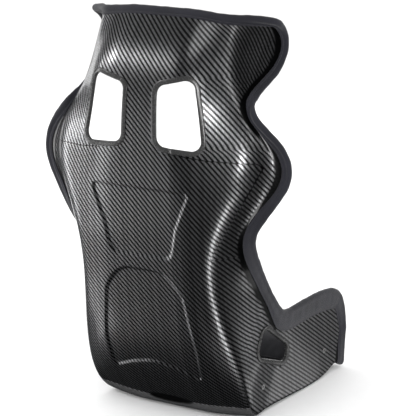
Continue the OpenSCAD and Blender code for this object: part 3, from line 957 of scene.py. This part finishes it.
def pad_shape(us, vs, thick, across, along):
    """A pad before it swells: its points, its faces, how firmly each point is held, and the ring
    of points where its front panel meets its border, with the shell's normals there."""
    size = [np.linalg.norm(np.diff(skin(*ends)[0], axis=0)) for ends in
            ((np.array(us), np.full(2, np.mean(vs))), (np.full(2, np.mean(us)), np.array(vs)))]
    rows, cols = [int(round(d / (PAD_CELL * MM) / 4)) * 4 + 1 for d in size]
    a, b = np.meshgrid(np.linspace(-1, 1, rows), np.linspace(-1, 1, cols), indexing="ij")
    u = np.interp(.5 + .5 * a * np.sqrt(1 - .3 * b * b), [0, 1], us)
    v = np.interp(.5 + .5 * b * np.sqrt(1 - .3 * a * a), [0, 1], vs)
    p, n = skin(u, v)
    share = EDGE_SHARE + CROWN_SHARE * (1 - a ** 4) * (1 - b ** 4)
    held = np.zeros((rows, cols), bool)
    lines = [np.s_[k:k + 1, :] for k in [int(round(t * (rows - 1))) for t in across]]
    lines += [np.s_[:, k:k + 1] for k in [int(round(t * (cols - 1))) for t in along]]
    for line in lines:
        away = np.linalg.norm(p - p[line], axis=2) / (SEAM_WIDTH * MM)
        share = share * (1 - SEAM_DROP * np.exp(-away ** 2))
        held[line] = True
    start = (WALL + PAD_GAP) * MM
    front = p - n * (start + thick * MM * share)[..., None]
    back = p - n * start
    count = rows * cols
    index = np.arange(count).reshape(rows, cols)
    edge = np.concatenate([index[0], index[1:, -1], index[-1, -2::-1], index[-2:0:-1, 0]])
    points = [front.reshape(-1, 3), back.reshape(-1, 3)]
    steps = max(2, int(round(thick * EDGE_SHARE / PAD_CELL)))
    for k in range(1, steps):
        points.append(points[0][edge] + (points[1][edge] - points[0][edge]) * k / steps)
    faces = []
    for i in range(rows - 1):
        for j in range(cols - 1):
            q = index[[i, i, i + 1, i + 1], [j, j + 1, j + 1, j]]
            faces += [q, q[::-1] + count]
    between = 2 * count + np.arange((steps - 1) * len(edge)).reshape(-1, len(edge))
    rings = [edge, *between, edge + count]
    for r, s in zip(rings[:-1], rings[1:]):
        faces += list(np.column_stack([r, s, np.roll(s, -1), np.roll(r, -1)]))
    points = np.vstack(points)
    hold = np.zeros(len(points))
    hold[count:2 * count] = 1
    hold[:count][held.ravel()] = 1
    hold[edge] = EDGE_HOLD
    return points, faces, hold, edge, n.reshape(-1, 3)[edge]


def swell(shapes):
    """Blows up the pads as cloth, all at once, and returns their new points. How far a point
    moves is squeezed smoothly to stay under SWELL_CAP."""
    things = []
    for points, faces, hold, _, _ in shapes:
        thing = put_in_scene("swelling", new_mesh("swelling", points, faces))
        group = thing.vertex_groups.new(name="held")
        for w in np.unique(hold[hold > 0]):
            group.add([int(k) for k in np.where(hold == w)[0]], float(w), "REPLACE")
        cloth = thing.modifiers.new("Cloth", "CLOTH")
        for k, value in CLOTH.items():
            setattr(cloth.settings, k, value)
        cloth.settings.effector_weights.gravity = 0
        cloth.point_cache.frame_start, cloth.point_cache.frame_end = 1, SWELL_FRAMES
        things.append(thing)
    scene = bpy.context.scene
    for f in range(1, SWELL_FRAMES + 1):
        scene.frame_set(f)
    graph = bpy.context.evaluated_depsgraph_get()
    results = []
    for thing, (points, _, _, _, _) in zip(things, shapes):
        new = np.zeros(points.size)
        thing.evaluated_get(graph).to_mesh().vertices.foreach_get("co", new)
        move = new.reshape(-1, 3) - points
        far = np.maximum(np.linalg.norm(move, axis=1, keepdims=True), 1e-9) / (SWELL_CAP * MM)
        results.append(points + move * np.tanh(far) / far)
    scene.frame_set(1)
    for thing in things:
        mesh = thing.data
        bpy.data.objects.remove(thing)
        bpy.data.meshes.remove(mesh)
    return results


def welt(name, line, up, nodes):
    """Piping sewn round a pad's front edge: a cord through the seam with its flange hidden."""
    for _ in range(2):
        line = (np.roll(line, 1, 0) + 2 * line + np.roll(line, -1, 0)) / 4
    run = unit(around(line))
    side = unit(np.cross(run, up))
    up = np.cross(side, run)
    turn = np.linspace(0, 2 * math.pi, 10, endpoint=False)
    ring = side[:, None] * np.cos(turn)[:, None] + up[:, None] * np.sin(turn)[:, None]
    points = line[:, None] + ring * PIPING_R * MM
    n, k = points.shape[:2]
    faces = [[i * k + j, i * k + (j + 1) % k, (i + 1) % n * k + (j + 1) % k, (i + 1) % n * k + j]
             for i in range(n) for j in range(k)]
    new_piece(name, points.reshape(-1, 3), faces, PIPING, nodes)


def build_pads():
    """Every pad with its piping."""
    shapes = [pad_shape(*size) for size in PADS.values()]
    swelled = swell(shapes)
    for (node, size), (_, faces, _, edge, up), points in zip(PADS.items(), shapes, swelled):
        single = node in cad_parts
        for suffix, way in (("", 1),) if single else (("_left", 1), ("_right", -1)):
            put, nodes = points * [way, 1, 1], [node + suffix]
            piece = new_piece(node + "_soft" + suffix, put, faces, PAD, nodes)
            finer = piece.modifiers.new("finer", "SUBSURF")
            finer.levels = finer.render_levels = 1
            welt(node + "_piping" + suffix, put[edge], up * [way, 1, 1], nodes)


build_pads()

# ---- Carried-over CAD nodes --------------------------------------------------------------
FINISHES = {
    "side_inserts": steel_material("insert steel", .55, .8, .38),
    "insert_washers": steel_material("washer steel", .06, .1, .42),
    "hook_tapes": tape_material(),
}
for node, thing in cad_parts.items():
    for word, material in FINISHES.items():
        if word in node:
            for k in range(len(thing.data.materials)):
                thing.data.materials[k] = material
            if not thing.data.materials:
                thing.data.materials.append(material)

# ---- Studio ------------------------------------------------------------------------------
# Name, direction from the seat (turn and tilt in degrees), distance, size and power
SOFTBOXES = [
    ("left strip", 17, 3, 3, (.5, 2.4), 24),
    ("left fill", 46, -8, 3, (1.1, 1.3), 8),
    ("upper left", 42, 34, 3, (.5, .5), 15),
    ("camera key", 124, 13, 3, (.7, .6), 22),
    ("top softbox", 112, 60, 3, (1.2, .7), 5),
    ("right fill", 163, 34, 3, (.5, .7), 4),
    ("corner strip", 130, -30, 3, (.5, .9), 12),
    ("side fill", -138, -8, 3, (1.4, .8), 8),
    ("low right", -140, -32, 3, (2, .6), 4),
    ("low rear", -45, -22, 3, (1.8, .8), 14),
    ("low left", 30, -34, 3, (1.6, .7), 5),
    ("rear left", -25, 8, 3, (.8, 2), 10),
    ("far wall", -75, 5, 3.5, (3, 2), 26),
]
# The height that the softboxes face
SEAT_MIDDLE = .45
# The floor reaches this far each way
FLOOR_HALF = 40
CAMERA_AT = (-1.914, 3.234, 1.382)
CAMERA_TURN = 210.694
CAMERA_DOWN = 14.195
LENS = 147.115


def backdrop(world):
    """White behind the object and for soft light, dark in reflections."""
    world.use_nodes = True
    tree = world.node_tree
    tree.nodes.clear()
    out, mix, white, dark, ray = [
        tree.nodes.new("ShaderNode" + kind)
        for kind in ("OutputWorld", "MixShader", "Background", "Background", "LightPath")]
    white.inputs[0].default_value, white.inputs[1].default_value = (1, 1, 1, 1), 1.25
    dark.inputs[0].default_value, dark.inputs[1].default_value = (.9, .95, 1, 1), .02
    tree.links.new(ray.outputs["Is Glossy Ray"], mix.inputs[0])
    tree.links.new(white.outputs[0], mix.inputs[1])
    tree.links.new(dark.outputs[0], mix.inputs[2])
    tree.links.new(mix.outputs[0], out.inputs[0])


def softbox(name, turn, tilt, far, size, power):
    """Area light seen from the seat in direction turn, tilt (degrees), facing the seat."""
    light = bpy.data.lights.new(name, "AREA")
    light.shape = "RECTANGLE"
    light.size, light.size_y = size
    light.energy = power
    lamp = put_in_scene(name, light)
    turn, tilt = math.radians(turn), math.radians(tilt)
    flat = math.cos(tilt)
    way = Vector((flat * math.cos(turn), flat * math.sin(turn), math.sin(tilt)))
    lamp.location = way * far + Vector((0, 0, SEAT_MIDDLE))
    lamp.rotation_euler = way.to_track_quat("Z", "Y").to_euler()
    lamp.visible_camera = False


def add_floor():
    """Plain paper floor, left out of reflections."""
    h = FLOOR_HALF
    mesh = bpy.data.meshes.new("floor")
    mesh.from_pydata([(-h, -h, 0), (h, -h, 0), (h, h, 0), (-h, h, 0)], [], [[0, 1, 2, 3]])
    floor = put_in_scene("floor", mesh)
    floor.visible_glossy = floor.visible_shadow = False
    m = Nodes("floor paper")
    paper = m.noise(m.place(), 30., 3.)
    m.set(Base_Color=m.mix(paper, grey(.86), grey(.9)), Roughness=.9, Specular_IOR_Level=.1)
    mesh.materials.append(m.material)


def studio():
    scene = bpy.context.scene
    scene.view_settings.view_transform = "Standard"
    scene.world = bpy.data.worlds.new("studio")
    backdrop(scene.world)
    for box in SOFTBOXES:
        softbox(*box)
    add_floor()


def add_camera():
    """Camera at the photograph's viewing angle."""
    data = bpy.data.cameras.new("camera")
    data.sensor_width = 36
    data.lens = LENS
    camera = put_in_scene("camera", data)
    camera.location = CAMERA_AT
    camera.rotation_euler = (math.radians(90 - CAMERA_DOWN), 0, math.radians(CAMERA_TURN))
    bpy.context.scene.camera = camera


studio()
add_camera()
